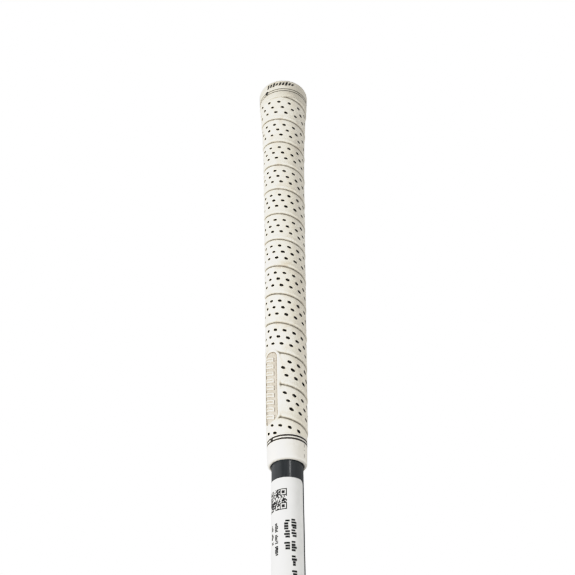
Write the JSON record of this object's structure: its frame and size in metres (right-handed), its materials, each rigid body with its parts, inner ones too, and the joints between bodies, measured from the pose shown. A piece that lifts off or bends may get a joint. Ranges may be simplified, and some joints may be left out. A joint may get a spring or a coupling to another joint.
{
  "type": "wrapped golf grip",
  "caption": "Wrapped golf grip with a flared butt cap, perforated helical strip, inset badge panel and mouth collar, taped on the butt end of its shaft.",
  "frame": {"origin": "centre of the shaft's cut end", "axes": "+Z along the shaft up to the butt cap; -Y is the front, the side that carries the panel on its left; +X is to the right seen from the front"},
  "size_m": [0.0294, 0.0294, 0.348],
  "materials": {
    "shaft_finish": "satin dark slate coating over the shaft",
    "tape": "creped two-sided tape",
    "label_paper": "matt white self-adhesive paper with a plain printed pattern",
    "grip_rubber": "matt moulded rubber",
    "felt": "non-woven felt",
    "wrap_skin": "soft cream polyurethane, slightly soiled, black perforations",
    "cap_rubber": "matt cream moulded rubber",
    "cap_line": "olive grey paint fill",
    "mark_ink": "black paint fill",
    "collar_rubber": "smooth cream moulded rubber",
    "collar_line": "brown-black paint fill",
    "badge_floor": "beige paint fill",
    "badge_raised": "cream raised moulding"
  },
  "bodies": {
    "root": {"shaft": "shaft_finish", "grip_tape": "tape", "shaft_label": "label_paper", "underlisting": "grip_rubber", "felt_backing": "felt", "wrap_strip": "wrap_skin", "butt_cap": "cap_rubber", "cap_ring_upper": "cap_line", "cap_ring_lower": "cap_line", "cap_index_dot": "mark_ink", "cap_tick_marks": "mark_ink", "mouth_collar": "collar_rubber", "collar_ring_lower": "collar_line", "collar_ring_upper": "collar_line", "collar_index_bar": "collar_line", "badge_frame": "wrap_skin", "badge_plate": "badge_floor", "badge_motif": "badge_raised"}
  },
  "joints": []
}
